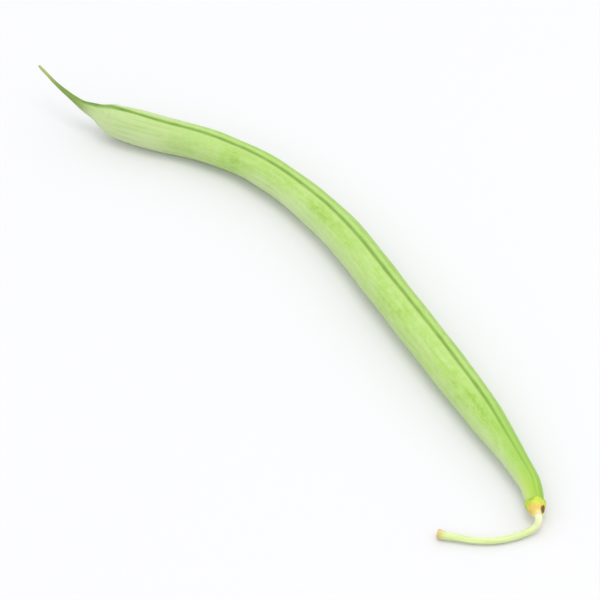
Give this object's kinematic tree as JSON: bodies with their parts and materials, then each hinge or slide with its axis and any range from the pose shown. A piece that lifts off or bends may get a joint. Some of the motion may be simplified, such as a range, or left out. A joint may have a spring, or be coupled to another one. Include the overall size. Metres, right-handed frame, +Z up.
{
  "type": "green bean",
  "caption": "Long slim green bean pod with a thin curved tail, a small dried calyx and a thin curled stalk, lying on its side.",
  "frame": {"origin": "on the surface that the bean lies on, under the middle of its box", "axes": "+X along the bean from its thin tail to its stem end, +Z up from the surface, the pod bows out towards +Y"},
  "size_m": [0.15, 0.0341, 0.01],
  "materials": {
    "pod_skin": "satin green skin with a fine velvety bloom",
    "dried_calyx": "dry, matte, yellow-green to tan with a brown scar",
    "stalk_skin": "matte pale yellow-green"
  },
  "bodies": {
    "root": {"pod": "pod_skin", "calyx": "dried_calyx", "stalk": "stalk_skin"}
  },
  "joints": []
}
